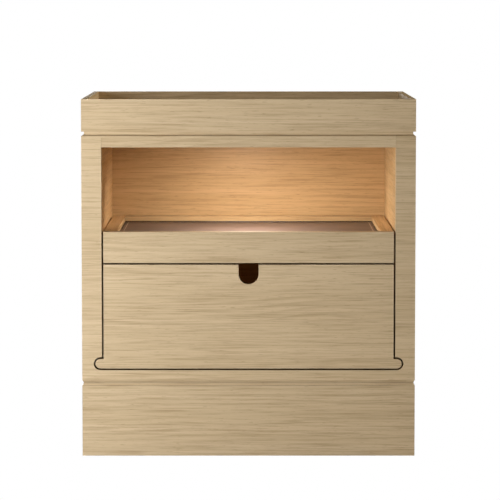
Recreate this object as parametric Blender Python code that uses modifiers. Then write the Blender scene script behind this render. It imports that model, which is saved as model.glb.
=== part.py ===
"""Oak bedside cabinet: a carcass on a box plinth, a gallery round the top, a lit open niche,
a pull-out tray under the niche and a drawer that runs on its own bullnosed base board.

Metres, +Z up. The front faces -Y. The origin is on the floor, under the middle of the cabinet.
"""

import math

import bmesh
import bpy
from mathutils import Matrix, Vector

# ---------------------------------------------------------------- driving dimensions
WIDTH = 0.600
DEPTH = 0.450
HEIGHT = 0.645
FIT = 0.0003  # gap between two pieces that touch
REVEAL = 0.003  # visible gap round the tray and the drawer

GLIDE_THICK = 0.001
PLINTH_TOP = 0.1325
PLINTH_THICK = 0.018
SIDE_THICK = 0.0357
BOTTOM_THICK = 0.024
TOP_THICK = 0.023
BACK_THICK = 0.012
BACK_INSET = 0.009  # from the rear edges to the back panel
FRAME_THICK = 0.020  # the face frame
NICHE_HEIGHT = 0.1522
GALLERY_THICK = 0.009

WAIST_INSET = 0.0027  # groove between plinth and carcass
WAIST_NECK = 0.0013  # straight part of each half of that groove
WAIST_SLOPE = 0.0050  # height of the slope above that groove
NECK_INSET = 0.0047  # shadow gap under the gallery
NECK_HEIGHT = 0.0052
NECK_SLOPE = 0.0029  # height of the slope under that gap
GALLERY_REBATE = 0.001  # how deep the gallery is let into the top of the carcass

BASE_THICK = 0.0173  # the drawer's base board, whose round edges are its runners
TONGUE_REACH = 0.0148  # how far that board stands out past the drawer front
DRAWER_FRONT_HEIGHT = 0.1704
DRAWER_FRONT_THICK = 0.020
DRAWER_WALL = 0.014
DRAWER_WALL_HEIGHT = 0.1606
FINGERS = 7
SLOT_RADIUS = 0.018
SLOT_DEPTH = 0.0352

TRAY_DEPTH = 0.405
TRAY_HEIGHT = 0.0558
TRAY_FRONT_THICK = 0.024
TRAY_SIDE_THICK = 0.0233
TRAY_BACK_THICK = 0.030
TRAY_RECESS = 0.0108
GLASS_THICK = 0.006
TRAY_BASE_THICK = 0.009
HOUSING = 0.006  # how deep a panel sits in its grooves

RUNNER_SIZE = (0.0121, 0.014)  # width and height
RUNNER_LENGTH = 0.400
LINER_THICK = 0.0024

DOWEL_RADIUS = 0.004
DOWEL_LENGTH = 0.030
DOWEL_PLACES = (-0.170, 0.000, 0.160)  # along the depth
SCREW_PLACES = (-0.160, 0.000, 0.160)
SCREW_LENGTH = 0.030
SCREW_RADIUS = 0.002
SCREW_HEAD = (0.0040, 0.0022)  # radius and height

LAMP_SETBACK = 0.165  # from the front edge to the lamp's centre
LAMP_RADIUS = 0.0285
LAMP_HEIGHT = 0.0155
BEZEL_RADIUS = 0.033
BEZEL_THICK = 0.0015
DIFFUSER_RADIUS = 0.0246
LEAD_RADIUS = 0.003
GLAND = (0.007, 0.005, 0.0015, 0.010)  # flange radius, stem radius, flange, length

# ---------------------------------------------------------------- worked-out levels
FRONT_Y = -DEPTH / 2
BACK_Y = DEPTH / 2
INNER_X = WIDTH / 2 - SIDE_THICK
FACE_X = INNER_X - REVEAL  # half width of the tray and drawer fronts
FRAME_BACK_Y = FRONT_Y + FRAME_THICK
CARCASS_BOTTOM = PLINTH_TOP + FIT
FLOOR_Z = CARCASS_BOTTOM + BOTTOM_THICK  # upper face of the bottom panel
BASE_Z = FLOOR_Z + REVEAL
BASE_TOP = BASE_Z + BASE_THICK
TONGUE_RADIUS = BASE_THICK / 2
TONGUE_Z = BASE_Z + TONGUE_RADIUS
TONGUE_X = FACE_X + TONGUE_REACH - TONGUE_RADIUS  # centre of the tongue's round edge
DRAWER_TOP = BASE_TOP + FIT + DRAWER_FRONT_HEIGHT
TRAY_Z = DRAWER_TOP + REVEAL
TRAY_TOP = TRAY_Z + TRAY_HEIGHT
CEILING_Z = TRAY_TOP + NICHE_HEIGHT
CARCASS_TOP = CEILING_Z + TOP_THICK
BACK_PANEL_Y = BACK_Y - BACK_INSET - BACK_THICK  # front face of the back panel
RUNNER_Z = TRAY_Z + 0.013  # middle of the runner's height
LAMP_Y = FRONT_Y + LAMP_SETBACK
LEAD_Z = CEILING_Z + 0.012
ARC_STEPS = 12

SIDES = {"left": -1, "right": 1}


# ---------------------------------------------------------------- scene and materials
def clear_scene():
    for obj in list(bpy.data.objects):
        bpy.data.objects.remove(obj)


def new_collection(name):
    collection = bpy.data.collections.new(name)
    bpy.context.scene.collection.children.link(collection)
    return collection


def principled(name, colour, roughness, metallic=0.0, transmission=0.0):
    material = bpy.data.materials.new(name)
    material.use_nodes = True
    shader = material.node_tree.nodes["Principled BSDF"]
    shader.inputs["Base Color"].default_value = (*colour, 1.0)
    shader.inputs["Roughness"].default_value = roughness
    shader.inputs["Metallic"].default_value = metallic
    shader.inputs["Transmission Weight"].default_value = transmission
    return material


clear_scene()
PARTS = new_collection("bedside_cabinet")
CUTTERS = new_collection("cutters")

OAK = principled("oak_veneer", (0.58, 0.44, 0.28), 0.45)
OAK_INNER = principled("oak_interior", (0.60, 0.42, 0.22), 0.50)
BEECH = principled("beech", (0.66, 0.47, 0.28), 0.60)
NYLON = principled("black_nylon", (0.02, 0.02, 0.02), 0.45)
GLASS = principled("bronze_glass", (0.10, 0.05, 0.03), 0.12)
STEEL = principled("zinc_steel", (0.62, 0.62, 0.60), 0.35, metallic=1.0)
ALUMINIUM = principled("satin_aluminium", (0.72, 0.72, 0.72), 0.35, metallic=1.0)
OPAL = principled("opal_acrylic", (0.92, 0.88, 0.80), 0.40, transmission=0.3)


def assembly(name, location):
    """An empty that carries one body of the cabinet."""
    empty = bpy.data.objects.new(name, None)
    empty.location = location
    PARTS.objects.link(empty)
    return empty


CARCASS = assembly("carcass", (0, 0, 0))
TRAY = assembly("tray", (0, FRONT_Y, TRAY_Z))
DRAWER = assembly("drawer", (0, FRONT_Y, BASE_Z))


# ---------------------------------------------------------------- modelling helpers
def place(obj, location, parent, material):
    """Puts a finished piece at a place given in the cabinet's frame, with its parent and material."""
    obj.data.materials.clear()
    obj.data.materials.append(material)
    obj.parent = parent
    obj.location = Vector(location) - parent.location
    return obj


def object_of(name, bm, collection=PARTS):
    mesh = bpy.data.meshes.new(name)
    bmesh.ops.recalc_face_normals(bm, faces=bm.faces)
    bm.to_mesh(mesh)
    bm.free()
    obj = bpy.data.objects.new(name, mesh)
    collection.objects.link(obj)
    return obj


def as_cutter(obj, location=(0, 0, 0)):
    """A shape that only cuts others. It stays in the cutters' collection and isn't rendered."""
    for collection in list(obj.users_collection):
        collection.objects.unlink(obj)
    CUTTERS.objects.link(obj)
    obj.location = location
    obj.hide_render = True
    obj.display_type = "WIRE"
    return obj


def box_mesh(name, size):
    bm = bmesh.new()
    bmesh.ops.create_cube(bm, size=1.0, matrix=Matrix.Diagonal((*size, 1.0)))
    return object_of(name, bm)


def span(low, high):
    """(size, middle) of the box between two corners."""
    low, high = Vector(low), Vector(high)
    return high - low, (low + high) / 2


def board(name, low, high, parent=None, material=OAK):
    """A square-edged board that fills the box between two corners."""
    size, middle = span(low, high)
    return place(box_mesh(name, size), middle, parent or CARCASS, material)


def box_cutter(name, low, high):
    size, middle = span(low, high)
    return as_cutter(box_mesh(name, size), middle)


def arc(centre, radius, start, end, steps=ARC_STEPS):
    """Points on an arc, from the start angle to the end angle in degrees."""
    angles = (math.radians(start + (end - start) * i / steps) for i in range(steps + 1))
    return [(centre[0] + radius * math.cos(a), centre[1] + radius * math.sin(a)) for a in angles]


# A flat outline stands up in one of three planes before it is moved to its place.
FACING_FRONT = Matrix.Rotation(math.radians(90), 4, "X")  # outline (x, z), thickness along Y
FACING_SIDE = Matrix(((0, 0, 1, 0), (1, 0, 0, 0), (0, 1, 0, 0), (0, 0, 0, 1)))  # outline (y, z), along X
LYING = Matrix.Identity(4)  # outline (x, y), thickness along Z


def flat_piece(name, outline, thickness, plane):
    """A flat outline given its thickness, from a filled 2D curve made into a welded mesh."""
    curve = bpy.data.curves.new(name, "CURVE")
    curve.dimensions = "2D"
    curve.fill_mode = "BOTH"
    curve.extrude = thickness / 2
    spline = curve.splines.new("POLY")
    spline.points.add(len(outline) - 1)
    for point, (u, v) in zip(spline.points, outline):
        point.co = (u, v, 0, 1)
    spline.use_cyclic_u = True
    guide = bpy.data.objects.new(name + "_outline", curve)
    PARTS.objects.link(guide)
    bpy.context.view_layer.update()
    evaluated = guide.evaluated_get(bpy.context.evaluated_depsgraph_get())
    mesh = bpy.data.meshes.new_from_object(evaluated)
    bpy.data.objects.remove(guide)
    bm = bmesh.new()
    bm.from_mesh(mesh)
    bpy.data.meshes.remove(mesh)
    bmesh.ops.remove_doubles(bm, verts=bm.verts, dist=1e-6)
    bmesh.ops.transform(bm, matrix=plane, verts=bm.verts)
    return object_of(name, bm)


def turned(name, profile, axis="Z", steps=32):
    """A lathe shape: profile points (radius, height), turned about Z."""
    mesh = bpy.data.meshes.new(name)
    points = [(radius, 0, height) for radius, height in profile]
    mesh.from_pydata(points, [(i, i + 1) for i in range(len(points) - 1)], [])
    obj = bpy.data.objects.new(name, mesh)
    PARTS.objects.link(obj)
    screw = obj.modifiers.new("turn", "SCREW")
    screw.steps = screw.render_steps = steps
    screw.use_merge_vertices = True
    screw.merge_threshold = 1e-5
    screw.use_smooth_shade = True
    if axis == "X":
        obj.rotation_euler = (0, math.radians(90), 0)
    elif axis == "Y":
        obj.rotation_euler = (math.radians(-90), 0, 0)
    return obj


def rod_cutter(name, radius, length, location, axis="Z", segments=24):
    bm = bmesh.new()
    bmesh.ops.create_cone(
        bm, cap_ends=True, segments=segments, radius1=radius, radius2=radius, depth=length
    )
    turn = {"X": ("Y", 90), "Y": ("X", 90), "Z": ("Z", 0)}[axis]
    bmesh.ops.transform(bm, matrix=Matrix.Rotation(math.radians(turn[1]), 4, turn[0]), verts=bm.verts)
    return as_cutter(object_of(name, bm), location)


def cut(obj, *cutters):
    for cutter in cutters:
        modifier = obj.modifiers.new(cutter.name, "BOOLEAN")
        modifier.operation = "DIFFERENCE"
        modifier.solver = "EXACT"
        modifier.object = cutter
    return obj


def mitred_rail(name, profile, length, facing, middle, material=OAK):
    """A rail of the cross-section (inset from the outer face, z), along one edge of the plan.

    Its ends are drawn in by each point's inset, so four rails meet at 45 degrees. facing is the
    angle in degrees by which the front rail is turned about the middle of the plan."""
    rail = flat_piece(name, profile, length, FACING_SIDE)
    for vertex in rail.data.vertices:
        inset = vertex.co.y
        end = length / 2 - inset - FIT / math.sqrt(2)
        vertex.co.x = math.copysign(end, vertex.co.x)
    rail.rotation_euler = (0, 0, math.radians(facing))
    return place(rail, middle, CARCASS, material)


def four_rails(names, profile):
    """Front, right, back and left rails of a box that has the cabinet's plan."""
    turns = (0, 90, 180, 270)
    middles = ((0, FRONT_Y, 0), (WIDTH / 2, 0, 0), (0, BACK_Y, 0), (-WIDTH / 2, 0, 0))
    lengths = (WIDTH, DEPTH, WIDTH, DEPTH)
    return [
        mitred_rail(name, profile, length, turn, middle)
        for name, length, turn, middle in zip(names, lengths, turns, middles)
    ]


# ---------------------------------------------------------------- plinth
def build_plinth():
    """Four mitred boards, corner blocks inside them, and a nylon glide under each block."""
    top = PLINTH_TOP
    profile = [
        (0, GLIDE_THICK),
        (0, top - WAIST_NECK - WAIST_INSET),
        (WAIST_INSET, top - WAIST_NECK),
        (WAIST_INSET, top),
        (PLINTH_THICK, top),
        (PLINTH_THICK, GLIDE_THICK),
    ]
    four_rails(("plinth_front", "plinth_right", "plinth_back", "plinth_left"), profile)

    block = 0.040
    block_height = 0.110
    corner = 0.018  # how much of the block's inner corner is planed off
    outline = [(0, 0), (-block, 0), (-block, -corner), (-corner, -block), (0, -block)]
    stem_radius = 0.002
    stem_length = 0.012
    glide_radius = 0.012
    for x_name, x_side in SIDES.items():
        for y_name, y_side in (("front", -1), ("back", 1)):
            name = f"{y_name}_{x_name}"
            at_x = x_side * (WIDTH / 2 - PLINTH_THICK - FIT)
            at_y = y_side * (DEPTH / 2 - PLINTH_THICK - FIT)
            own = [(x_side * u, y_side * v) for u, v in outline]
            piece = flat_piece(f"corner_block_{name}", own, block_height, LYING)
            place(piece, (at_x, at_y, GLIDE_THICK + block_height / 2), CARCASS, BEECH)
            middle = (at_x - x_side * block * 0.4, at_y - y_side * block * 0.4)
            hole = rod_cutter(
                f"glide_hole_{name}", stem_radius + FIT, 2 * (stem_length + FIT),
                (*middle, GLIDE_THICK), segments=12,
            )
            cut(piece, hole)
            under = GLIDE_THICK - FIT
            profile = [
                (0, GLIDE_THICK + stem_length - FIT),
                (stem_radius, GLIDE_THICK + stem_length - 0.003),
                (stem_radius, under),
                (glide_radius - 0.0005, under),
                (glide_radius, under - 0.0005),
                (glide_radius - 0.0012, 0),
                (0, 0),
            ]
            glide = turned(f"glide_{name}", profile, steps=24)
            place(glide, (*middle, 0), CARCASS, NYLON)


# ---------------------------------------------------------------- carcass
def edge_cutters():
    """Bars that cut the waist groove and the slope under the gallery, along the front and back edges."""
    reach = 0.008  # how far a bar stands outside the cabinet
    waist_top = CARCASS_BOTTOM + WAIST_NECK
    waist_rise = WAIST_SLOPE / WAIST_INSET
    waist = [
        (-reach, waist_top + WAIST_SLOPE + waist_rise * reach),
        (WAIST_INSET, waist_top),
        (WAIST_INSET, CARCASS_BOTTOM - reach),
        (-reach, CARCASS_BOTTOM - reach),
    ]
    rise = NECK_SLOPE / NECK_INSET
    slope = [
        (-reach, CARCASS_TOP - NECK_SLOPE - rise * reach),
        (2 * NECK_INSET, CARCASS_TOP + rise * NECK_INSET),
        (-reach, CARCASS_TOP + reach),
    ]
    made = {}
    for kind, profile in (("waist", waist), ("slope", slope)):
        for face, turn, at_y in (("front", 0, FRONT_Y), ("back", 180, BACK_Y)):
            bar = flat_piece(f"{kind}_{face}", profile, WIDTH + 4 * reach, FACING_SIDE)
            bar.rotation_euler = (0, 0, math.radians(turn))
            made[kind, face] = as_cutter(bar, (0, at_y, 0))
    return made


def gallery_rebates():
    """Bars that cut the shallow rebate in which the gallery stands."""
    outer, inner = NECK_INSET - FIT, GALLERY_THICK + FIT
    half_x, half_y = WIDTH / 2, DEPTH / 2
    low, high = CARCASS_TOP - GALLERY_REBATE, CARCASS_TOP + NECK_HEIGHT
    plans = {
        "front": ((outer - half_x, outer - half_y), (half_x - outer, inner - half_y)),
        "back": ((outer - half_x, half_y - inner), (half_x - outer, half_y - outer)),
        "left": ((outer - half_x, outer - half_y), (inner - half_x, half_y - outer)),
        "right": ((half_x - inner, outer - half_y), (half_x - outer, half_y - outer)),
    }
    return {
        face: box_cutter(f"gallery_rebate_{face}", (*start, low), (*end, high))
        for face, (start, end) in plans.items()
    }


def edge_outline(side):
    """The outer edge of a side board or stile, bottom to top, with the waist groove and the top slope."""
    outer = WIDTH / 2
    points = [
        (outer - WAIST_INSET, CARCASS_BOTTOM),
        (outer - WAIST_INSET, CARCASS_BOTTOM + WAIST_NECK),
        (outer, CARCASS_BOTTOM + WAIST_NECK + WAIST_SLOPE),
        (outer, CARCASS_TOP - NECK_SLOPE),
        (outer - NECK_INSET, CARCASS_TOP),
    ]
    return [(side * x, z) for x, z in points]


def tongue_groove(radius):
    """Half outline of the space round the drawer's tongue, from its upper edge to its lower edge."""
    return [(INNER_X, TONGUE_Z + radius), *arc((TONGUE_X, TONGUE_Z), radius, 90, -90)]


def mirrored(half):
    return [(-x, z) for x, z in reversed(half)]


def build_face_frame(bars, rebates):
    """The U-shaped face frame: both stiles and the bottom rail, notched for the drawer's foot."""
    notch = tongue_groove(TONGUE_RADIUS + REVEAL)
    half = [*edge_outline(1), (INNER_X, CARCASS_TOP), *notch]
    outline = half + mirrored(half)
    frame = flat_piece("face_frame", outline, FRAME_THICK, FACING_FRONT)
    place(frame, (0, FRONT_Y + FRAME_THICK / 2, 0), CARCASS, OAK)
    cut(frame, bars["waist", "front"], bars["slope", "front"])
    cut(frame, rebates["front"], rebates["left"], rebates["right"])


def build_carcass(bars, rebates):
    """Sides, top and bottom panels and the back, with dowels in their joints."""
    groove_length = BACK_PANEL_Y - FRONT_Y
    stadium = tongue_groove(TONGUE_RADIUS + REVEAL)
    reach_in = [(INNER_X - REVEAL, stadium[-1][1]), (INNER_X - REVEAL, stadium[0][1])]
    back_groove = box_cutter(
        "back_groove",
        (-INNER_X - HOUSING - FIT, BACK_PANEL_Y - FIT, FLOOR_Z - HOUSING - FIT),
        (INNER_X + HOUSING + FIT, BACK_PANEL_Y + BACK_THICK + FIT, CEILING_Z + HOUSING + FIT),
    )
    side_length = BACK_Y - FRAME_BACK_Y - FIT
    side_middle = BACK_Y - side_length / 2
    sides = {}
    for name, side in SIDES.items():
        inner = [(side * INNER_X, CARCASS_TOP), (side * INNER_X, CARCASS_BOTTOM)]
        piece = flat_piece(f"side_{name}", edge_outline(side) + inner, side_length, FACING_FRONT)
        place(piece, (0, side_middle, 0), CARCASS, OAK)
        own = [(side * x, z) for x, z in stadium + reach_in]
        groove = flat_piece(f"groove_{name}", own, groove_length, FACING_FRONT)
        as_cutter(groove, (0, FRONT_Y + groove_length / 2 - 0.001, 0))
        cut(piece, bars["waist", "back"], bars["slope", "back"], groove, back_groove)
        cut(piece, rebates[name], rebates["back"])
        sides[name] = piece

    x_end = INNER_X - FIT
    top = board("top_panel", (-x_end, FRONT_Y, CEILING_Z), (x_end, BACK_Y, CARCASS_TOP))
    bottom = board(
        "bottom_panel",
        (-x_end, FRAME_BACK_Y + FIT, CARCASS_BOTTOM),
        (x_end, BACK_Y, FLOOR_Z),
    )
    cut(top, bars["slope", "front"], bars["slope", "back"], back_groove)
    cut(top, rebates["front"], rebates["back"])
    cut(bottom, bars["waist", "back"], back_groove)
    board(
        "back_panel",
        (-INNER_X - HOUSING, BACK_PANEL_Y, FLOOR_Z - HOUSING),
        (INNER_X + HOUSING, BACK_PANEL_Y + BACK_THICK, CEILING_Z + HOUSING),
        material=OAK_INNER,
    )

    levels = {"bottom": (bottom, FLOOR_Z - BOTTOM_THICK / 2), "top": (top, CARCASS_TOP - TOP_THICK / 2)}
    chamfer = 0.001
    half = DOWEL_LENGTH / 2
    profile = [
        (0, half),
        (DOWEL_RADIUS - chamfer, half),
        (DOWEL_RADIUS, half - chamfer),
        (DOWEL_RADIUS, -half + chamfer),
        (DOWEL_RADIUS - chamfer, -half),
        (0, -half),
    ]
    for level, (panel, z) in levels.items():
        for name, side in SIDES.items():
            for number, y in enumerate(DOWEL_PLACES, 1):
                at = (side * (INNER_X - FIT / 2), y, z)
                dowel = turned(f"dowel_{level}_{name}_{number}", profile, axis="X", steps=16)
                place(dowel, at, CARCASS, BEECH)
                hole = rod_cutter(
                    f"dowel_hole_{level}_{name}_{number}", DOWEL_RADIUS + FIT,
                    DOWEL_LENGTH + 4 * FIT, at, axis="X", segments=16,
                )
                cut(panel, hole)
                cut(sides[name], hole)
    return sides, top


def build_gallery():
    """Four thin mitred boards round the top, rebated below to leave the shadow gap."""
    foot = CARCASS_TOP - GALLERY_REBATE + FIT
    profile = [
        (NECK_INSET, foot),
        (NECK_INSET, CARCASS_TOP + NECK_HEIGHT),
        (0, CARCASS_TOP + NECK_HEIGHT),
        (0, HEIGHT),
        (GALLERY_THICK, HEIGHT),
        (GALLERY_THICK, foot),
    ]
    four_rails(("gallery_front", "gallery_right", "gallery_back", "gallery_left"), profile)


def build_lamp(top):
    """A round LED light let into the niche's ceiling, and the gland where its lead leaves the top panel."""
    wall = 0.0015
    can_top = CEILING_Z + 0.0015 + LAMP_HEIGHT
    recess_top = can_top + FIT
    recess = rod_cutter(
        "lamp_recess", LAMP_RADIUS + FIT, 2 * (recess_top - CEILING_Z), (0, LAMP_Y, CEILING_Z), segments=48
    )
    lead_way = rod_cutter(
        "lead_way", LEAD_RADIUS, DEPTH, (0, LAMP_Y + DEPTH / 2, LEAD_Z), axis="Y", segments=12
    )
    flange_radius, stem_radius, flange, length = GLAND
    flange_seat = rod_cutter(
        "gland_flange_seat", flange_radius + FIT, 2 * (flange + FIT), (0, BACK_Y, LEAD_Z), axis="Y"
    )
    stem_seat = rod_cutter(
        "gland_stem_seat", stem_radius + FIT, 2 * (length + FIT), (0, BACK_Y, LEAD_Z), axis="Y"
    )
    cut(top, recess, lead_way, flange_seat, stem_seat)

    can = [
        (0, can_top),
        (LAMP_RADIUS, can_top),
        (LAMP_RADIUS, CEILING_Z + FIT),
        (LAMP_RADIUS - wall, CEILING_Z + FIT),
        (LAMP_RADIUS - wall, can_top - wall),
        (0, can_top - wall),
    ]
    housing = turned("lamp_housing", can, steps=48)
    place(housing, (0, LAMP_Y, 0), CARCASS, ALUMINIUM)
    lead_hole = rod_cutter(
        "lead_hole", LEAD_RADIUS, 0.010, (0, LAMP_Y + LAMP_RADIUS, LEAD_Z), axis="Y", segments=12
    )
    cut(housing, lead_hole)

    under = CEILING_Z - FIT
    collar = DIFFUSER_RADIUS + FIT + 0.0015
    bezel = [
        (collar, CEILING_Z + 0.003),
        (collar, under),
        (BEZEL_RADIUS, under),
        (BEZEL_RADIUS, under - BEZEL_THICK * 0.4),
        (BEZEL_RADIUS - BEZEL_THICK, under - BEZEL_THICK),
        (DIFFUSER_RADIUS + FIT, under - BEZEL_THICK),
        (DIFFUSER_RADIUS + FIT, CEILING_Z + 0.003),
        (collar, CEILING_Z + 0.003),
    ]
    place(turned("lamp_bezel", bezel, steps=48), (0, LAMP_Y, 0), CARCASS, ALUMINIUM)

    lens_top = CEILING_Z + 0.002
    lens_low = under - BEZEL_THICK * 0.8
    diffuser = [
        (0, lens_top),
        (DIFFUSER_RADIUS, lens_top),
        (DIFFUSER_RADIUS, lens_low),
        (0, lens_low - 0.0002),
    ]
    place(turned("lamp_diffuser", diffuser, steps=48), (0, LAMP_Y, 0), CARCASS, OPAL)

    bore = LEAD_RADIUS - 0.0005
    gland = [
        (flange_radius, 0),
        (flange_radius, -flange),
        (stem_radius, -flange),
        (stem_radius, -length),
        (bore, -length),
        (bore, 0),
        (flange_radius, 0),
    ]
    place(turned("lead_gland", gland, axis="Y", steps=24), (0, BACK_Y - FIT, LEAD_Z), CARCASS, NYLON)


# ---------------------------------------------------------------- runners
def build_tray_runners(sides):
    """A beech runner on each side, held by three countersunk screws, for the grooved tray sides."""
    width, height = RUNNER_SIZE
    head_radius, head_height = SCREW_HEAD
    start_y = FRONT_Y + TRAY_FRONT_THICK + 0.001
    recess_size = (0.0032, 0.0007, 0.0024)  # the cross in the head: length, width, depth
    for name, side in SIDES.items():
        x_wall = side * (INNER_X - FIT)
        x_face = side * (INNER_X - FIT - width)
        low = (min(x_wall, x_face), start_y, RUNNER_Z - height / 2)
        high = (max(x_wall, x_face), start_y + RUNNER_LENGTH, RUNNER_Z + height / 2)
        runner = board(f"tray_runner_{name}", low, high, material=BEECH)
        profile = [
            (0, 0),
            (head_radius, 0),
            (SCREW_RADIUS, -head_height),
            (SCREW_RADIUS, -SCREW_LENGTH + 0.005),
            (0, -SCREW_LENGTH),
        ]
        wider = FIT * 1.5
        seat = [
            (0, 0.001),
            (head_radius + wider + 0.001, 0.001),
            (SCREW_RADIUS + wider, -head_height),
            (SCREW_RADIUS + wider, -SCREW_LENGTH - FIT),
            (0, -SCREW_LENGTH - FIT),
        ]
        for number, y in enumerate(SCREW_PLACES, 1):
            # The profile's +Z is turned to point at the middle of the cabinet, where the head is.
            turn = (0, math.radians(-90 * side), 0)
            at = (x_face + side * FIT, y, RUNNER_Z)
            screw = turned(f"runner_screw_{name}_{number}", profile, steps=16)
            screw.rotation_euler = turn
            place(screw, at, CARCASS, STEEL)
            for arm, size in enumerate((recess_size, (recess_size[1], recess_size[0], recess_size[2]))):
                arm_cutter = box_mesh(f"cross_{name}_{number}_{arm}", (size[2], size[0], size[1]))
                cut(screw, as_cutter(arm_cutter, at))
            seat_cutter = turned(f"screw_seat_{name}_{number}", seat, steps=16)
            seat_cutter.rotation_euler = turn
            as_cutter(seat_cutter, at)
            cut(runner, seat_cutter)
            cut(sides[name], seat_cutter)


def build_groove_liners():
    """A black nylon channel in each side's groove, in which the drawer's tongue slides."""
    outer = TONGUE_RADIUS + REVEAL - FIT
    inner = outer - LINER_THICK
    centre = (TONGUE_X, TONGUE_Z)
    mouth = INNER_X + 2 * FIT
    length = BACK_PANEL_Y - FRAME_BACK_Y - 0.010
    outline = [
        (mouth, TONGUE_Z + outer),
        *arc(centre, outer, 90, -90),
        (mouth, TONGUE_Z - outer),
        (mouth, TONGUE_Z - inner),
        *arc(centre, inner, -90, 90),
        (mouth, TONGUE_Z + inner),
    ]
    for name, side in SIDES.items():
        own = [(side * x, z) for x, z in outline]
        liner = flat_piece(f"groove_liner_{name}", own, length, FACING_FRONT)
        place(liner, (0, FRAME_BACK_Y + 0.002 + length / 2, 0), CARCASS, NYLON)


# ---------------------------------------------------------------- tray
def build_tray():
    """The pull-out tray: four rails round a base, with a sheet of bronze glass set down between them."""
    rear = FRONT_Y + TRAY_DEPTH
    front_back = FRONT_Y + TRAY_FRONT_THICK
    inside_x = FACE_X - TRAY_SIDE_THICK
    glass_top = TRAY_TOP - TRAY_RECESS
    base_top = glass_top - GLASS_THICK - FIT
    base_low = base_top - TRAY_BASE_THICK
    back_front = rear - TRAY_BACK_THICK

    front = board("tray_front", (-FACE_X, FRONT_Y, TRAY_Z), (FACE_X, front_back, TRAY_TOP), TRAY)
    back_x = inside_x - FIT
    back = board("tray_back", (-back_x, back_front, TRAY_Z), (back_x, rear, TRAY_TOP), TRAY, OAK_INNER)

    base_size = (inside_x + HOUSING, front_back - HOUSING, back_front + HOUSING)
    board(
        "tray_base",
        (-base_size[0], base_size[1], base_low),
        (base_size[0], base_size[2], base_top),
        TRAY,
        OAK_INNER,
    )
    housing = box_cutter(
        "tray_base_groove",
        (-base_size[0] - FIT, base_size[1] - FIT, base_low - FIT),
        (base_size[0] + FIT, base_size[2] + FIT, base_top + FIT),
    )
    cut(front, housing)
    cut(back, housing)

    width, height = RUNNER_SIZE
    play = 0.0005  # over and under the runner
    depth = width - REVEAL + FIT + 0.001
    for name, side in SIDES.items():
        x = sorted((side * inside_x, side * FACE_X))
        piece = board(
            f"tray_side_{name}",
            (x[0], front_back + FIT, TRAY_Z),
            (x[1], rear, TRAY_TOP),
            TRAY,
            OAK_INNER,
        )
        groove_x = sorted((side * (FACE_X - depth), side * (FACE_X + 0.005)))
        groove = box_cutter(
            f"runner_groove_{name}",
            (groove_x[0], front_back - 0.005, RUNNER_Z - height / 2 - play),
            (groove_x[1], rear + 0.005, RUNNER_Z + height / 2 + play),
        )
        cut(piece, groove, housing)

    glass_x = inside_x - FIT
    glass = board(
        "tray_glass",
        (-glass_x, front_back + FIT, glass_top - GLASS_THICK),
        (glass_x, back_front - FIT, glass_top),
        TRAY,
        GLASS,
    )
    bevel = glass.modifiers.new("polished_edge", "BEVEL")
    bevel.width = 0.001
    bevel.segments = 2
    bevel.limit_method = "ANGLE"


# ---------------------------------------------------------------- drawer
def build_drawer():
    """The drawer: a front with a finger slot and a bullnosed foot, and behind it a bullnosed base
    board and three walls, finger-jointed at the back."""
    rear = BACK_PANEL_Y - 0.006
    wall_front = FRONT_Y + DRAWER_FRONT_THICK + FIT
    length = rear - wall_front
    tongue = arc((TONGUE_X, TONGUE_Z), TONGUE_RADIUS, 90, -90)
    base = flat_piece("drawer_base", tongue + mirrored(tongue), length, FACING_FRONT)
    place(base, (0, wall_front + length / 2, 0), DRAWER, OAK_INNER)

    low = BASE_TOP + FIT
    slot_z = DRAWER_TOP - SLOT_DEPTH + SLOT_RADIUS
    slot = [
        (SLOT_RADIUS, DRAWER_TOP),
        *arc((0, slot_z), SLOT_RADIUS, 0, -180, 2 * ARC_STEPS),
        (-SLOT_RADIUS, DRAWER_TOP),
    ]
    corners = [(FACE_X, DRAWER_TOP), (FACE_X, BASE_TOP)]
    outline = corners + tongue + mirrored(corners + tongue) + list(reversed(slot))
    front = flat_piece("drawer_front", outline, DRAWER_FRONT_THICK, FACING_FRONT)
    place(front, (0, FRONT_Y + DRAWER_FRONT_THICK / 2, 0), DRAWER, OAK)

    # Fingers 0, 2, 4 and 6 from the bottom belong to the sides, and 1, 3 and 5 to the back.
    outer_x = FACE_X - 0.004
    top = low + DRAWER_WALL_HEIGHT
    step = DRAWER_WALL_HEIGHT / FINGERS
    side_outline = [(wall_front, low)]
    back_half = []
    for finger in range(FINGERS):
        on_side = finger % 2 == 0
        z_low = low + finger * step
        z_high = z_low + step
        # A finger is shortened by half the fit at each shoulder, and its socket grows by as much.
        grow = -FIT / 2 if on_side else FIT / 2
        side_y = rear if on_side else rear - DRAWER_WALL - FIT
        back_x = outer_x - DRAWER_WALL - FIT if on_side else outer_x
        side_outline += [(side_y, max(z_low - grow, low)), (side_y, min(z_high + grow, top))]
        back_half += [(back_x, max(z_low + grow, low)), (back_x, min(z_high - grow, top))]
    side_outline.append((wall_front, top))
    for name, side in SIDES.items():
        piece = flat_piece(f"drawer_side_{name}", side_outline, DRAWER_WALL, FACING_SIDE)
        place(piece, (side * (outer_x - DRAWER_WALL / 2), 0, 0), DRAWER, OAK_INNER)
    back = flat_piece("drawer_back", back_half + mirrored(back_half), DRAWER_WALL, FACING_FRONT)
    place(back, (0, rear - DRAWER_WALL / 2, 0), DRAWER, OAK_INNER)

    board(
        "drawer_stop",
        (-0.030, rear + FIT, FLOOR_Z + FIT),
        (0.030, BACK_PANEL_Y - FIT, BASE_TOP),
        material=BEECH,
    )


def main():
    bars = edge_cutters()
    rebates = gallery_rebates()
    build_plinth()
    build_face_frame(bars, rebates)
    sides, top = build_carcass(bars, rebates)
    build_gallery()
    build_lamp(top)
    build_tray_runners(sides)
    build_groove_liners()
    build_tray()
    build_drawer()


main()
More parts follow.
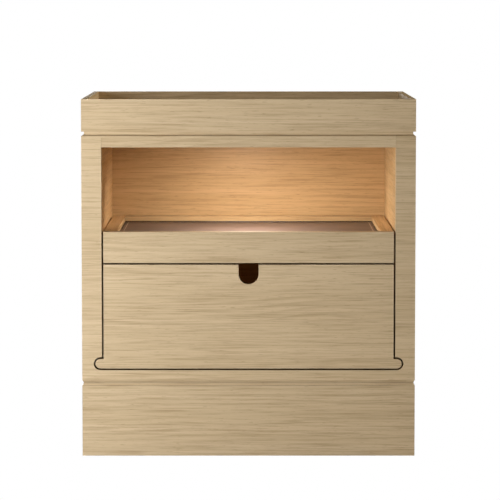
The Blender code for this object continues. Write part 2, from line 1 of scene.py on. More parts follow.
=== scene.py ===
"""Looks for the bedside cabinet: oak boards, a glossy brown sheet in the tray, a warm niche light."""

import math

import bmesh
import bpy
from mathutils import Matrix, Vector


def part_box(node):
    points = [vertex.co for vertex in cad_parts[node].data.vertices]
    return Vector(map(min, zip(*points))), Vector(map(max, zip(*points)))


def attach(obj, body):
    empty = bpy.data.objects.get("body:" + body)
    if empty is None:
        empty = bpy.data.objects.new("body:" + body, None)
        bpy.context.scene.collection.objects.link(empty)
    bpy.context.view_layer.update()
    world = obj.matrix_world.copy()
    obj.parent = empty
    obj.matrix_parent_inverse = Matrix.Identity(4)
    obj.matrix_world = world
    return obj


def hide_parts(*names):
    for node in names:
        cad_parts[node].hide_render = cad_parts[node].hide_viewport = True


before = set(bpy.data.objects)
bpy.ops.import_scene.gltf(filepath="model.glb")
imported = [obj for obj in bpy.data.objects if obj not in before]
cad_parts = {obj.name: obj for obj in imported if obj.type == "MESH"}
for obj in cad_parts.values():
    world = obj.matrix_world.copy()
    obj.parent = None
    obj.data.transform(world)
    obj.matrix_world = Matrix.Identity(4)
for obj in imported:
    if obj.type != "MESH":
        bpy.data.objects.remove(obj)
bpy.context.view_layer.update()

# ------------------------------------------------------------------ constants (metres, linear colour)
WHITE = (1.0, 1.0, 1.0)
MIDDLE_RANGE = (0.3, 0.7)  # the part of a noise's values that a look is spread over

# Colours of the wood.
OAK_LIGHT = (0.690, 0.548, 0.360)
OAK_MID = (0.628, 0.491, 0.308)
OAK_DARK = (0.400, 0.280, 0.151)
OAK_PORE = (0.330, 0.221, 0.108)
OAK = (OAK_LIGHT, OAK_MID, OAK_DARK, OAK_PORE)
BEECH_LIGHT = (0.640, 0.440, 0.270)
BEECH_DARK = (0.530, 0.345, 0.195)
BEECH = (BEECH_LIGHT, BEECH_LIGHT, BEECH_DARK, BEECH_DARK)
# Painted shade in the grooves round the waist and under the gallery.
GROOVE_SHADE_COLOUR = (0.022, 0.009, 0.003)
# Painted shade on the edges that line the gaps round the drawer and the tray.
GAP_SHADE_COLOUR = (0.135, 0.062, 0.018)
# A warm tint painted on the faces in the niche, for the lamp's light bounced round it.
NICHE_BOUNCE_TINT = (1.0, 0.828, 0.60)

# Grain frequencies, in cycles per metre: along the grain, then across it both ways.
FIGURE = (1.3, 60.0, 60.0)
LINES = (2.2, 190.0, 190.0)
LINE_BREAKS = (9.0, 60.0, 60.0)
STREAK = (12.0, 480.0, 480.0)
FIBRE = (60.0, 800.0, 800.0)
CLOUD = (1.1, 3.0, 3.0)
RING_DRIFT = (1.9, 4.5, 4.5)
RING_BREAKS = (2.4, 26.0, 26.0)

# Which of a noise's values show, and how strongly.
RING_SPACING = 0.013
RING_WANDER = 0.100
RING_SLANT = 0.8
RING_RISE = (0.30, 0.86)
RING_FALL = (0.88, 0.99)
RING_BREAK_RANGE = (0.42, 0.66)
RING_DEPTH = 0.30
LINE_MIDDLE = 0.5
LINE_WIDTH = 0.055
LINE_BREAK_RANGE = (0.38, 0.66)
LINE_DEPTH = 0.50
FIGURE_RANGE = (0.30, 0.70)
STREAK_RANGE = (0.46, 0.76)
STREAK_DEPTH = 0.66
STREAK_RELIEF = 0.35
PORE_RANGE = (0.60, 0.74)
PORE_DEPTH = 0.50
CLOUD_RANGE = (0.25, 0.75)
CLOUD_TONE = (0.965, 1.025)
WOOD_ROUGHNESS = (0.44, 0.56)
WOOD_BUMP = (0.00006, 0.55)  # distance and strength, as in the other bumps
WOOD_SPECULAR = 0.30
BOARD_STEP = (1.37, 0.731, 0.417)  # how far apart the cuts of two boards lie in the log
BEECH_DEPTHS = (0.15, 0.25)  # of its rings and its pores
BEECH_CUTS = ((3.1, 0.2, 0.9), (1.7, 0.6, 0.3))

# Edges and gaps of the boards, with the painted shade lines in their grooves and gaps.
EDGE_SOFTENING = 0.0004
EDGE_SEGMENTS = 2
EDGE_ANGLE = math.radians(40)
EDGE_FACING = (0.60, 0.93)
SIDE_FACING = 0.8
GAP_REACH = 0.008
WAIST_LOWER_LINE = (-0.0047, -0.0030)
WAIST_UPPER_LINE = (-0.0010, 0.0034)
WAIST_SHADE = (0.20, 0.22)
SHOULDER_LINE = 0.0030
SHOULDER_SHADE = 0.12

# The sheet in the tray, its painted glint line, and the dark bead round it that stands for shade.
PANEL_DARK = (0.090, 0.056, 0.042)
PANEL_LIGHT = (0.106, 0.067, 0.050)
PANEL_MOTTLE = 5.0
PANEL_GRAIN = 700.0
PANEL_BUMP = (0.00001, 0.3)
PANEL_ROUGHNESS = (0.43, 0.50)
PANEL_SPECULAR = 0.85
PANEL_ARRIS = 0.0005
PANEL_BORDER = 0.0062
PANEL_LINE = 0.0011
PANEL_DROP = 0.0004
PANEL_CROWN = 0.1  # the share of that drop that is left where the bevel ends
# A painted glint: the light band where the panel's bevel meets its flat.
GLINT_DARK = (0.52, 0.40, 0.30)
GLINT_LIGHT = (0.66, 0.53, 0.42)
GLINT_MOTTLE = 900.0
GLINT_ROUGHNESS = (0.35, 0.50)
# A dark bead put along the panel's edge for the shade line there: painted shade.
BEAD_SIZE = 0.0020
BEAD_GAP = 0.0002
SHADE_BEAD_DARK = (0.020, 0.010, 0.006)
SHADE_BEAD_LIGHT = (0.034, 0.018, 0.011)
SHADE_BEAD_ROUGHNESS = 0.42

# The other materials: two colours, the roughness, and for a metal the frequencies of its lines.
NYLON_LOOK = ((0.012, 0.012, 0.012), (0.022, 0.021, 0.020), 0.46)
STEEL_LOOK = ((0.52, 0.52, 0.50), (0.68, 0.68, 0.66), 0.32, (900.0, 900.0, 900.0))
ALUMINIUM_LOOK = ((0.66, 0.66, 0.65), (0.78, 0.78, 0.77), 0.30, (80.0, 80.0, 2000.0))
PLASTIC_SPARK = 2400.0
PLASTIC_CLOUD = 60.0
PLASTIC_BUMP = (0.00003, 0.5)
PLASTIC_SPREAD = 0.06
METAL_BUMP = (0.00002, 0.5)
METAL_SPREAD = (0.08, 0.10)
ACRYLIC_DARK = (0.90, 0.86, 0.78)
ACRYLIC_LIGHT = (0.94, 0.90, 0.83)
ACRYLIC_GRAIN = 300.0
ACRYLIC_ROUGHNESS = 0.4
ACRYLIC_EDGE_GLOW = 0.6

# Lights.
KEY_PLACE = (-1.39, -1.225, 0.48)
KEY_AIM = (0.0, -0.225, 0.36)
KEY_SIZE = (0.60, 0.90)
KEY_POWER = 33.0
KEY_COLOUR = (1.0, 1.0, 1.0)
FRONT_PLACE = (0.30, -3.20, 2.00)
FRONT_AIM = (0.0, 0.0, 0.40)
FRONT_SIZE = (1.2, 1.2)
FRONT_POWER = 8.0
FRONT_COLOUR = (1.0, 0.82, 0.60)
SIDE_PLACE = (2.60, 0.20, 1.50)
SIDE_AIM = (0.0, 0.0, 0.40)
SIDE_SIZE = (0.6, 0.6)
SIDE_POWER = 44.0
SIDE_COLOUR = (1.0, 0.89, 0.70)
TOP_PLACE = (0.0, 0.0, 3.6)
TOP_AIM = (0.0, 0.0, 0.6)
TOP_SIZE = (0.5, 0.5)
TOP_POWER = 10.0
TOP_COLOUR = (1.0, 0.89, 0.70)
BACK_PLACE = (-0.70, 2.10, 0.42)
BACK_AIM = (0.0, 0.225, 0.36)
BACK_SIZE = (0.9, 0.9)
BACK_POWER = 20.0
BACK_COLOUR = (1.0, 0.97, 0.92)
FILL_COLOUR = (1.0, 0.82, 0.58)
FILL_STRENGTH = 0.025
LAMP_COLOUR = (1.0, 0.92, 0.86)
LAMP_POWER = 2.20
LAMP_TILT = 0.32  # how far back the lamp aims on the way down
LAMP_AIM_DROP = 1.0
LAMP_SPREAD = 156.0
LAMP_CLEARANCE = 0.0005
LAMP_GLOW = 9.0
LEAK_COLOUR = (1.0, 0.46, 0.16)
LEAK_POWER = 0.03
LEAK_RADIUS = 0.02
LEAK_PLACE = (0.12, 0.05)  # behind the drawer front's back face and below its top
OPEN_SPREAD = 180.0

CAMERA_PLACE = (0.0, -5.368, 0.820)
CAMERA_AIM = (0.0, -0.225, 0.3743)
CAMERA_LENS = 206.8
CAMERA_SENSOR = 36.0
CAMERA_SHIFT_X = 0.0029

FLOOR_SIZE = 12.0
FLOOR_DROP = 0.0002
FLOOR_COLOUR = (0.45, 0.44, 0.42)


# ------------------------------------------------------------------ node helpers
def new_material(name):
    """A node material with only a Principled shader: returns it with its tree and that shader."""
    material = bpy.data.materials.new(name)
    material.use_nodes = True
    tree = material.node_tree
    tree.nodes.clear()
    shader = tree.nodes.new("ShaderNodeBsdfPrincipled")
    output = tree.nodes.new("ShaderNodeOutputMaterial")
    tree.links.new(shader.outputs["BSDF"], output.inputs["Surface"])
    return material, tree, shader


def object_place(tree):
    """The place on the object, in its own coordinates."""
    return tree.nodes.new("ShaderNodeTexCoord").outputs["Object"]


def axes_of(tree, vector):
    """The X, Y and Z outputs of a vector."""
    split = tree.nodes.new("ShaderNodeSeparateXYZ")
    tree.links.new(vector, split.inputs[0])
    return split.outputs


def even(frequency):
    """The same frequency along all three axes."""
    return (frequency, frequency, frequency)


def noise(tree, vector, frequencies, detail=4.0, roughness=0.55):
    """Noise with its own frequency along each axis."""
    scale = tree.nodes.new("ShaderNodeVectorMath")
    scale.operation = "MULTIPLY"
    scale.inputs[1].default_value = frequencies
    texture = tree.nodes.new("ShaderNodeTexNoise")
    texture.inputs["Scale"].default_value = 1.0
    texture.inputs["Detail"].default_value = detail
    texture.inputs["Roughness"].default_value = roughness
    tree.links.new(vector, scale.inputs[0])
    tree.links.new(scale.outputs[0], texture.inputs["Vector"])
    return texture.outputs["Fac"]


def math_node(tree, operation, first, second=None):
    """A sum on one or two values, each a socket or a number."""
    node = tree.nodes.new("ShaderNodeMath")
    node.operation = operation
    for socket, value in zip(node.inputs, (first, second)):
        if value is None:
            continue
        if isinstance(value, (int, float)):
            socket.default_value = value
        else:
            tree.links.new(value, socket)
    return node.outputs[0]


def remap(tree, value, source, target=(0.0, 1.0)):
    """A smooth step from one range of values to another."""
    node = tree.nodes.new("ShaderNodeMapRange")
    node.interpolation_type = "SMOOTHSTEP"
    node.inputs["From Min"].default_value = source[0]
    node.inputs["From Max"].default_value = source[1]
    node.inputs["To Min"].default_value = target[0]
    node.inputs["To Max"].default_value = target[1]
    tree.links.new(value, node.inputs["Value"])
    return node.outputs["Result"]


def mix_colour(tree, factor, first, second):
    """A mix of two colours, each a socket or three numbers."""
    node = tree.nodes.new("ShaderNodeMix")
    node.data_type = "RGBA"
    tree.links.new(factor, node.inputs[0])
    for socket, value in ((node.inputs[6], first), (node.inputs[7], second)):
        if isinstance(value, tuple):
            socket.default_value = (*value, 1.0)
        else:
            tree.links.new(value, socket)
    return node.outputs[2]


def bump(tree, height, size):
    """A normal bent by a height, for a (distance, strength)."""
    node = tree.nodes.new("ShaderNodeBump")
    node.inputs["Distance"].default_value = size[0]
    node.inputs["Strength"].default_value = size[1]
    tree.links.new(height, node.inputs["Height"])
    return node.outputs["Normal"]


# ------------------------------------------------------------------ wood
def grain_coordinates(tree, grain, offset):
    """Object coordinates with the grain turned to x, and moved so that each board looks different."""
    join = tree.nodes.new("ShaderNodeCombineXYZ")
    move = tree.nodes.new("ShaderNodeVectorMath")
    move.operation = "ADD"
    move.inputs[1].default_value = offset
    order = {"x": (0, 1, 2), "y": (1, 0, 2), "z": (2, 1, 0)}[grain]
    axes = axes_of(tree, object_place(tree))
    for target, source in enumerate(order):
        tree.links.new(axes[source], join.inputs[target])
    tree.links.new(join.outputs[0], move.inputs[0])
    return move.outputs[0]


def growth_rings(tree, vector):
    """Soft wandering lines, as the growth rings show on a plain-sawn face: 0 between them, 1 on one."""
    axes = axes_of(tree, vector)
    wander = noise(tree, vector, RING_DRIFT, detail=2.0, roughness=0.45)
    level = math_node(tree, "ADD", axes["Z"], math_node(tree, "MULTIPLY", wander, RING_WANDER))
    level = math_node(tree, "ADD", level, math_node(tree, "MULTIPLY", axes["Y"], RING_SLANT))
    phase = math_node(tree, "FRACT", math_node(tree, "DIVIDE", level, RING_SPACING))
    rise = remap(tree, phase, RING_RISE)
    fall = remap(tree, phase, RING_FALL, (1.0, 0.0))
    line = math_node(tree, "MULTIPLY", rise, fall)
    broken = noise(tree, vector, RING_BREAKS, detail=3.0)
    return math_node(tree, "MULTIPLY", line, remap(tree, broken, RING_BREAK_RANGE))


def grain_lines(tree, vector):
    """Thin dark lines that run with the grain, waver a little and fade in and out."""
    field = noise(tree, vector, LINES, detail=2.0, roughness=0.4)
    off_line = math_node(tree, "ABSOLUTE", math_node(tree, "SUBTRACT", field, LINE_MIDDLE))
    line = remap(tree, off_line, (0.0, LINE_WIDTH), (1.0, 0.0))
    broken = noise(tree, vector, LINE_BREAKS, detail=2.0)
    return math_node(tree, "MULTIPLY", line, remap(tree, broken, LINE_BREAK_RANGE, (0.0, LINE_DEPTH)))


def facing(tree, axis):
    """How far a face looks along an axis, either way: 0 to 1."""
    normal = tree.nodes.new("ShaderNodeTexCoord").outputs["Normal"]
    return math_node(tree, "ABSOLUTE", axes_of(tree, normal)[axis])


def within(tree, axis, low, high):
    """1 where the place along an axis is between two values, else 0."""
    place = axes_of(tree, object_place(tree))[axis]
    above = math_node(tree, "GREATER_THAN", place, low)
    below = math_node(tree, "LESS_THAN", place, high)
    return math_node(tree, "MULTIPLY", above, below)


def edge_faces(tree):
    """1 on a board's edges, whose faces look up, down or sideways, and 0 on its front and back."""
    return remap(tree, facing(tree, "Y"), EDGE_FACING, (1.0, 0.0))


def edges_below_tray_top(tree):
    """The edges that line the gaps round the drawer and the tray, where shade is painted."""
    tray_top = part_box("tray_front")[1][2]
    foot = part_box("drawer_base")[1][0] + GAP_REACH
    below = within(tree, "Z", 0.0, tray_top - GAP_REACH / 4)
    low_edges = math_node(tree, "MULTIPLY", edge_faces(tree), below)
    return math_node(tree, "MULTIPLY", low_edges, within(tree, "X", -foot, foot))


def inner_faces(tree):
    """The part of a side board that faces the niche."""
    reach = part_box("back_panel")[1][0] + GAP_REACH / 4
    sideways = math_node(tree, "GREATER_THAN", facing(tree, "X"), SIDE_FACING)
    return math_node(tree, "MULTIPLY", within(tree, "X", -reach, reach), sideways)


def niche_side(tree):
    """The front half of the back panel's thickness, which faces the niche."""
    low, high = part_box("back_panel")
    return within(tree, "Y", low[1] - GAP_REACH, (low[1] + high[1]) / 2)


def everywhere(tree):
    """The whole board."""
    return within(tree, "Z", -1.0, 1.0)


def groove_shade_line(low, high, depth):
    """A maker of a painted shade line in a groove, between two heights."""
    def mask(tree):
        return math_node(tree, "MULTIPLY", within(tree, "Z", low, high), depth)
    return mask


def bare_wood(tree, vector, colours, depths):
    """The wood before it is finished: returns its colour, its figure, its streaks and its pores."""
    light, middle, dark, pore = colours
    ring_depth, pore_depth = depths
    figure = noise(tree, vector, FIGURE, detail=5.0, roughness=0.62)
    streak = noise(tree, vector, STREAK, detail=3.0, roughness=0.6)
    fibre = noise(tree, vector, FIBRE, detail=2.0)
    pores = remap(tree, fibre, PORE_RANGE)
    colour = mix_colour(tree, remap(tree, figure, FIGURE_RANGE), light, middle)
    colour = mix_colour(tree, remap(tree, streak, STREAK_RANGE, (0.0, STREAK_DEPTH)), colour, dark)
    colour = mix_colour(tree, grain_lines(tree, vector), colour, dark)
    rings = math_node(tree, "MULTIPLY", growth_rings(tree, vector), ring_depth)
    colour = mix_colour(tree, rings, colour, dark)
    colour = mix_colour(tree, math_node(tree, "MULTIPLY", pores, pore_depth), colour, pore)
    return colour, figure, streak, pores


def tinted(tree, colour, mask, tint):
    """A colour multiplied by a tint where the mask is 1."""
    multiply = tree.nodes.new("ShaderNodeVectorMath")
    multiply.operation = "MULTIPLY"
    tree.links.new(colour, multiply.inputs[0])
    tree.links.new(mix_colour(tree, mask, WHITE, tint), multiply.inputs[1])
    return multiply.outputs[0]


def wood(name, grain, offset, colours=OAK, depths=(RING_DEPTH, PORE_DEPTH),
         shade_tone=1.0, gap_shade=None, niche_bounce=None, tint=NICHE_BOUNCE_TINT, grooves=()):
    """Lacquered wood with its grain along x, y or z, with painted light and shade: shade in its gaps
    and grooves, a darker or lighter board, and a warm tint on the faces in the niche.
    """
    material, tree, shader = new_material(name)
    vector = grain_coordinates(tree, grain, offset)
    colour, figure, streak, pores = bare_wood(tree, vector, colours, depths)
    # A warm tint painted on the faces in the niche, for the lamp's bounced light.
    if niche_bounce:
        colour = tinted(tree, colour, niche_bounce(tree), tint)
    roughness = remap(tree, figure, MIDDLE_RANGE, WOOD_ROUGHNESS)
    # Painted shade on the edges that line the gaps, with their shine taken off.
    if gap_shade:
        mask = gap_shade(tree)
        colour = mix_colour(tree, mask, colour, GAP_SHADE_COLOUR)
        roughness = math_node(tree, "MAXIMUM", roughness, mask)
    # Painted shade lines in the grooves.
    for groove in grooves:
        colour = mix_colour(tree, groove(tree), colour, GROOVE_SHADE_COLOUR)
    cloud = noise(tree, vector, CLOUD, detail=1.0)
    scale = tree.nodes.new("ShaderNodeVectorMath")
    scale.operation = "SCALE"
    # A board's painted shade scales its random cloud of colour.
    tones = (CLOUD_TONE[0] * shade_tone, CLOUD_TONE[1] * shade_tone)
    tree.links.new(colour, scale.inputs[0])
    tree.links.new(remap(tree, cloud, CLOUD_RANGE, tones), scale.inputs["Scale"])
    tree.links.new(scale.outputs[0], shader.inputs["Base Color"])

    height = math_node(tree, "SUBTRACT", math_node(tree, "MULTIPLY", streak, STREAK_RELIEF), pores)
    tree.links.new(bump(tree, height, WOOD_BUMP), shader.inputs["Normal"])
    tree.links.new(roughness, shader.inputs["Roughness"])
    shader.inputs["Specular IOR Level"].default_value = WOOD_SPECULAR
    return material


# ------------------------------------------------------------------ other materials
def plastic(name, dark, light, roughness):
    """Moulded plastic with a fine spark-eroded texture."""
    material, tree, shader = new_material(name)
    vector = object_place(tree)
    spark = noise(tree, vector, even(PLASTIC_SPARK), detail=2.0)
    cloud = noise(tree, vector, even(PLASTIC_CLOUD), detail=2.0)
    spread = (roughness - PLASTIC_SPREAD, roughness + PLASTIC_SPREAD)
    tree.links.new(mix_colour(tree, cloud, dark, light), shader.inputs["Base Color"])
    tree.links.new(remap(tree, cloud, MIDDLE_RANGE, spread), shader.inputs["Roughness"])
    tree.links.new(bump(tree, spark, PLASTIC_BUMP), shader.inputs["Normal"])
    return material


def brushed_metal(name, dark, light, roughness, frequencies):
    """Metal with fine lines, or an even grain where the frequencies are equal."""
    material, tree, shader = new_material(name)
    lines = noise(tree, object_place(tree), frequencies, detail=3.0)
    spread = (roughness - METAL_SPREAD[0], roughness + METAL_SPREAD[1])
    tree.links.new(mix_colour(tree, lines, dark, light), shader.inputs["Base Color"])
    tree.links.new(remap(tree, lines, MIDDLE_RANGE, spread), shader.inputs["Roughness"])
    tree.links.new(bump(tree, lines, METAL_BUMP), shader.inputs["Normal"])
    shader.inputs["Metallic"].default_value = 1.0
    return material


def glowing_acrylic(name):
    """The lamp's opal disc: brighter in the middle, where its LEDs are."""
    material, tree, shader = new_material(name)
    low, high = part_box("lamp_diffuser")
    place = object_place(tree)
    away = tree.nodes.new("ShaderNodeVectorMath")
    away.operation = "DISTANCE"
    away.inputs[1].default_value = (Vector(low) + Vector(high)) / 2
    tree.links.new(place, away.inputs[0])
    radius = (high[0] - low[0]) / 2
    glow = remap(tree, away.outputs["Value"], (0.0, radius), (LAMP_GLOW, LAMP_GLOW * ACRYLIC_EDGE_GLOW))
    grain = noise(tree, place, even(ACRYLIC_GRAIN))
    tree.links.new(mix_colour(tree, grain, ACRYLIC_DARK, ACRYLIC_LIGHT), shader.inputs["Base Color"])
    tree.links.new(glow, shader.inputs["Emission Strength"])
    shader.inputs["Emission Color"].default_value = (*LAMP_COLOUR, 1.0)
    shader.inputs["Roughness"].default_value = ACRYLIC_ROUGHNESS
    return material


def tray_panel_material(name):
    """Satin brown sheet with a faint mottle."""
    material, tree, shader = new_material(name)
    vector = object_place(tree)
    mottle = noise(tree, vector, even(PANEL_MOTTLE), detail=3.0, roughness=0.5)
    fine = noise(tree, vector, even(PANEL_GRAIN), detail=2.0)
    tree.links.new(mix_colour(tree, mottle, PANEL_DARK, PANEL_LIGHT), shader.inputs["Base Color"])
    tree.links.new(remap(tree, mottle, MIDDLE_RANGE, PANEL_ROUGHNESS), shader.inputs["Roughness"])
    tree.links.new(bump(tree, fine, PANEL_BUMP), shader.inputs["Normal"])
    shader.inputs["Specular IOR Level"].default_value = PANEL_SPECULAR
    return material


def painted_glint_material(name):
    """A painted glint: a light line where the panel's bevel meets its flat."""
    material, tree, shader = new_material(name)
    glint_mottle = noise(tree, object_place(tree), even(GLINT_MOTTLE), detail=2.0)
    tree.links.new(mix_colour(tree, glint_mottle, GLINT_DARK, GLINT_LIGHT), shader.inputs["Base Color"])
    tree.links.new(remap(tree, glint_mottle, MIDDLE_RANGE, GLINT_ROUGHNESS), shader.inputs["Roughness"])
    return material


# ------------------------------------------------------------------ pieces
def rectangle(bm, half_x, low_y, high_y, z):
    """Four corners of a level rectangle."""
    corners = ((-half_x, low_y), (half_x, low_y), (half_x, high_y), (-half_x, high_y))
    return [bm.verts.new((x, y, z)) for x, y in corners]


def bridge(bm, lower, upper):
    """The four faces between two rectangles."""
    faces = []
    for corner, after in ((0, 1), (1, 2), (2, 3), (3, 0)):
        faces.append(bm.faces.new((lower[corner], lower[after], upper[after], upper[corner])))
    return faces


def finish_piece(bm, name):
    """Put a bmesh in the scene as an object of that name."""
    bmesh.ops.recalc_face_normals(bm, faces=bm.faces)
    mesh = bpy.data.meshes.new(name)
    bm.to_mesh(mesh)
    bm.free()
    piece = bpy.data.objects.new(name, mesh)
    bpy.context.scene.collection.objects.link(piece)
    return piece


def build_tray_panel():
    """The sheet in the tray, with a wide shallow bevel round its upper face and a painted glint line on
    the bevel.
    """
    low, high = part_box("tray_glass")
    edge_top = high[2] - PANEL_DROP
    levels = (
        (PANEL_ARRIS, low[2]),
        (0.0, low[2] + PANEL_ARRIS),
        (0.0, edge_top - PANEL_ARRIS),
        (PANEL_ARRIS, edge_top),
        (PANEL_BORDER, high[2] - PANEL_DROP * PANEL_CROWN),
        (PANEL_BORDER + PANEL_LINE, high[2]),
    )
    bm = bmesh.new()
    rings = [rectangle(bm, high[0] - inset, low[1] + inset, high[1] - inset, z) for inset, z in levels]
    for lower, upper in zip(rings, rings[1:]):
        line_faces = bridge(bm, lower, upper)
    bm.faces.new(rings[-1])
    bm.faces.new(tuple(reversed(rings[0])))
    # The last band of the bevel gets the painted glint.
    for face in line_faces:
        face.material_index = 1
    panel = finish_piece(bm, "tray_panel")
    panel.data.materials.append(tray_panel_material("brown_gloss"))
    panel.data.materials.append(painted_glint_material("painted_glint_line"))
    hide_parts("tray_glass")
    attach(panel, "tray")


def build_shade_bead():
    """A dark bead round the sheet, in the corner between it and the tray's rim, put there for the shade
    line along the panel's edge.
    """
    glass_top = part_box("tray_glass")[1][2]
    half_x = -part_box("tray_side_left")[1][0]
    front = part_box("tray_front")[1][1]
    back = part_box("tray_back")[0][1]
    reach = BEAD_SIZE + BEAD_GAP
    low, high = glass_top + BEAD_GAP, glass_top + BEAD_SIZE
    bm = bmesh.new()
    loops = []
    for inset, z in ((BEAD_GAP, low), (BEAD_GAP, high), (reach / 2, high), (reach, low)):
        loops.append(rectangle(bm, half_x - inset, front + inset, back - inset, z))
    for lower, upper in zip(loops, loops[1:] + loops[:1]):
        bridge(bm, lower, upper)
    bead = finish_piece(bm, "tray_shade_bead")
    shade_bead_look = plastic("dark_shade_bead", SHADE_BEAD_DARK, SHADE_BEAD_LIGHT, SHADE_BEAD_ROUGHNESS)
    bead.data.materials.append(shade_bead_look)
    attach(bead, "tray")


def soften_edges(obj):
    """A small rounded edge on every corner of a board."""
    modifier = obj.modifiers.new("soft_edges", "BEVEL")
    modifier.width = EDGE_SOFTENING
    modifier.segments = EDGE_SEGMENTS
    modifier.limit_method = "ANGLE"
    modifier.angle_limit = EDGE_ANGLE


def dress(node, material, soften=True):
    """Give a piece of the cabinet its material."""
    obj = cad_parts[node]
    obj.data.materials.clear()
    obj.data.materials.append(material)
    if soften:
        soften_edges(obj)


# Boards along x, then boards along y. Their order sets which part of the log each is cut from.
BOARDS = {
    "x": (
        "face_frame", "top_panel", "bottom_panel", "back_panel", "gallery_front", "gallery_back",
        "plinth_front", "plinth_back", "tray_front", "tray_back", "tray_base", "drawer_front",
        "drawer_base", "drawer_back",
    ),
    "y": (
        "side_left", "side_right", "gallery_left", "gallery_right", "plinth_left", "plinth_right",
        "tray_side_left", "tray_side_right", "drawer_side_left", "drawer_side_right",
    ),
}
# Painted shade: the tray's back and sides made darker than the other boards.
PAINTED_SHADE_TONE = {"tray_back": 0.78, "tray_side_left": 0.92, "tray_side_right": 0.94}
# Painted light: the niche's left wall made lighter.
NICHE_BOUNCE_TONE = {"side_left": 1.12}
# Painted shade on the edges round the drawer, the tray and the drawer's finger slot, so the gaps read
# dark.
GAP_SHADED = {
    "drawer_front": edge_faces,
    "face_frame": edges_below_tray_top,
    "tray_front": edges_below_tray_top,
}
# A warm tint painted on the faces that look into the niche and on the tray's boards, for the lamp's
# bounced light.
NICHE_BOUNCE_FACES = {
    "side_left": inner_faces,
    "side_right": inner_faces,
    "back_panel": niche_side,
    "tray_side_left": everywhere,
    "tray_side_right": everywhere,
    "tray_back": everywhere,
    "tray_base": everywhere,
}


def groove_shades_of(name):
    """The painted shade lines round the waist and under the gallery that show on a board."""
    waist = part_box("plinth_front")[1][2]
    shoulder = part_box("side_left")[1][2]
    under_gallery = groove_shade_line(shoulder - SHOULDER_LINE, shoulder + SHOULDER_LINE, SHOULDER_SHADE)
    if name.startswith("plinth"):
        low, high = WAIST_LOWER_LINE
        return (groove_shade_line(waist + low, waist + high, WAIST_SHADE[0]),)
    if name in ("face_frame", "side_left", "side_right"):
        low, high = WAIST_UPPER_LINE
        return (groove_shade_line(waist + low, waist + high, WAIST_SHADE[1]), under_gallery)
    if name == "top_panel":
        return (under_gallery,)
    return ()


def dress_boards():
    """Every board gets its own cut of the same oak, with the grain along its length, and its painted
    light and shade.
    """
    boards = [(name, grain) for grain, names in BOARDS.items() for name in names]
    for number, (name, grain) in enumerate(boards):
        made = wood(
            f"oak_{name}",
            grain,
            tuple(number * step for step in BOARD_STEP),
            shade_tone=PAINTED_SHADE_TONE.get(name, 1.0),
            gap_shade=GAP_SHADED.get(name),
            niche_bounce=NICHE_BOUNCE_FACES.get(name),
            tint=tuple(value * NICHE_BOUNCE_TONE.get(name, 1.0) for value in NICHE_BOUNCE_TINT),
            grooves=groove_shades_of(name),
        )
        dress(name, made)


def dress_small_parts():
    """Runners, dowels, blocks, glides, liners, screws and the lamp."""
    beech_along = wood("beech_runner", "y", BEECH_CUTS[0], BEECH, BEECH_DEPTHS)
    beech_upright = wood("beech_block", "z", BEECH_CUTS[1], BEECH, BEECH_DEPTHS)
    nylon = plastic("black_nylon", *NYLON_LOOK)
    steel = brushed_metal("zinc_steel", *STEEL_LOOK)
    aluminium = brushed_metal("satin_aluminium", *ALUMINIUM_LOOK)
    acrylic = glowing_acrylic("opal_acrylic")
    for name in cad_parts:
        if name.startswith(("tray_runner", "dowel", "drawer_stop")):
            dress(name, beech_along, soften=False)
        elif name.startswith("corner_block"):
            dress(name, beech_upright)
        elif name.startswith(("glide", "groove_liner", "lead_gland")):
            dress(name, nylon, soften=False)
        elif name.startswith("runner_screw"):
            dress(name, steel, soften=False)
        elif name in ("lamp_housing", "lamp_bezel"):
            dress(name, aluminium, soften=False)
        elif name == "lamp_diffuser":
            dress(name, acrylic, soften=False)


# ------------------------------------------------------------------ stage
def white_to_camera(tree, other, white_kind):
    """White for the camera, and another shader for the light that reaches the object."""
    rays = tree.nodes.new("ShaderNodeLightPath")
    white = tree.nodes.new(white_kind)
    white.inputs["Color"].default_value = (*WHITE, 1.0)
    white.inputs["Strength"].default_value = 1.0
    mixer = tree.nodes.new("ShaderNodeMixShader")
    tree.links.new(rays.outputs["Is Camera Ray"], mixer.inputs[0])
    tree.links.new(other.outputs[0], mixer.inputs[1])
    tree.links.new(white.outputs[0], mixer.inputs[2])
    return mixer.outputs[0]


def build_world():
    """A weak warm fill from all round."""
    world = bpy.data.worlds.new("studio")
    bpy.context.scene.world = world
    world.use_nodes = True
    tree = world.node_tree
    tree.nodes.clear()
    soft = tree.nodes.new("ShaderNodeBackground")
    soft.inputs["Color"].default_value = (*FILL_COLOUR, 1.0)
    soft.inputs["Strength"].default_value = FILL_STRENGTH
    output = tree.nodes.new("ShaderNodeOutputWorld")
    tree.links.new(white_to_camera(tree, soft, "ShaderNodeBackground"), output.inputs["Surface"])


def build_floor():
    """A plain pale floor that fades into the background."""
    bpy.ops.mesh.primitive_plane_add(size=FLOOR_SIZE, location=(0, 0, -FLOOR_DROP))
    floor = bpy.context.object
    floor.name = "floor"
    material = bpy.data.materials.new("pale_floor")
    material.use_nodes = True
    tree = material.node_tree
    tree.nodes.clear()
    matt = tree.nodes.new("ShaderNodeBsdfDiffuse")
    matt.inputs["Color"].default_value = (*FLOOR_COLOUR, 1.0)
    output = tree.nodes.new("ShaderNodeOutputMaterial")
    tree.links.new(white_to_camera(tree, matt, "ShaderNodeEmission"), output.inputs["Surface"])
    floor.data.materials.append(material)


def aim(obj, target):
    """Turn a light or the camera towards a point."""
    direction = Vector(target) - obj.location
    obj.rotation_euler = direction.to_track_quat("-Z", "Y").to_euler()


def new_light(name, kind, power, colour, place):
    """A light that the camera doesn't see: returns the object."""
    data = bpy.data.lights.new(name, kind)
    data.energy = power
    data.color = colour
    light = bpy.data.objects.new(name, data)
    bpy.context.scene.collection.objects.link(light)
    light.location = place
    light.visible_camera = False
    return light


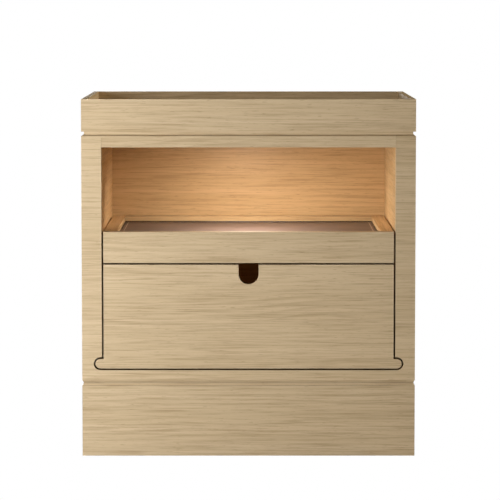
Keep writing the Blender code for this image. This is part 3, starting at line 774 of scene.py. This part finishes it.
def area_light(name, place, target, size, power, colour, shape="RECTANGLE", spread=OPEN_SPREAD):
    """A soft light of a given width and height."""
    light = new_light(name, "AREA", power, colour, place)
    light.data.shape = shape
    light.data.size, light.data.size_y = size
    light.data.spread = math.radians(spread)
    aim(light, target)


def build_lamp_light():
    """The light that the lamp throws into the niche."""
    low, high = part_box("lamp_diffuser")
    x, y = (low[0] + high[0]) / 2, (low[1] + high[1]) / 2
    bezel_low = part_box("lamp_bezel")[0][2]
    size = (high[0] - low[0], high[1] - low[1])
    place = (x, y, bezel_low - LAMP_CLEARANCE)
    under = (x, y + LAMP_TILT, bezel_low - LAMP_AIM_DROP)
    area_light("niche_light", place, under, size, LAMP_POWER, LAMP_COLOUR, "DISK", LAMP_SPREAD)


def build_leak_light():
    """The dim warm light that finds its way into the closed drawer and shows in its finger slot."""
    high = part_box("drawer_front")[1]
    place = (0.0, high[1] + LEAK_PLACE[0], high[2] - LEAK_PLACE[1])
    light = new_light("leak", "POINT", LEAK_POWER, LEAK_COLOUR, place)
    light.data.shadow_soft_size = LEAK_RADIUS


def build_lights():
    """The studio's lights, the lamp's and the one in the drawer."""
    area_light("key", KEY_PLACE, KEY_AIM, KEY_SIZE, KEY_POWER, KEY_COLOUR)
    area_light("front", FRONT_PLACE, FRONT_AIM, FRONT_SIZE, FRONT_POWER, FRONT_COLOUR)
    area_light("side", SIDE_PLACE, SIDE_AIM, SIDE_SIZE, SIDE_POWER, SIDE_COLOUR)
    area_light("top", TOP_PLACE, TOP_AIM, TOP_SIZE, TOP_POWER, TOP_COLOUR)
    area_light("back", BACK_PLACE, BACK_AIM, BACK_SIZE, BACK_POWER, BACK_COLOUR)
    build_lamp_light()
    build_leak_light()


def build_camera():
    """A long lens, a little above the middle of the front and tilted down."""
    data = bpy.data.cameras.new("camera")
    data.lens = CAMERA_LENS
    data.sensor_width = CAMERA_SENSOR
    data.shift_x = CAMERA_SHIFT_X
    camera = bpy.data.objects.new("camera", data)
    bpy.context.scene.collection.objects.link(camera)
    camera.location = CAMERA_PLACE
    aim(camera, CAMERA_AIM)
    bpy.context.scene.camera = camera


def main():
    build_camera()
    build_world()
    build_floor()
    build_lights()
    dress_boards()
    dress_small_parts()
    build_tray_panel()
    build_shade_bead()
    bpy.context.scene.view_settings.view_transform = "Standard"


main()
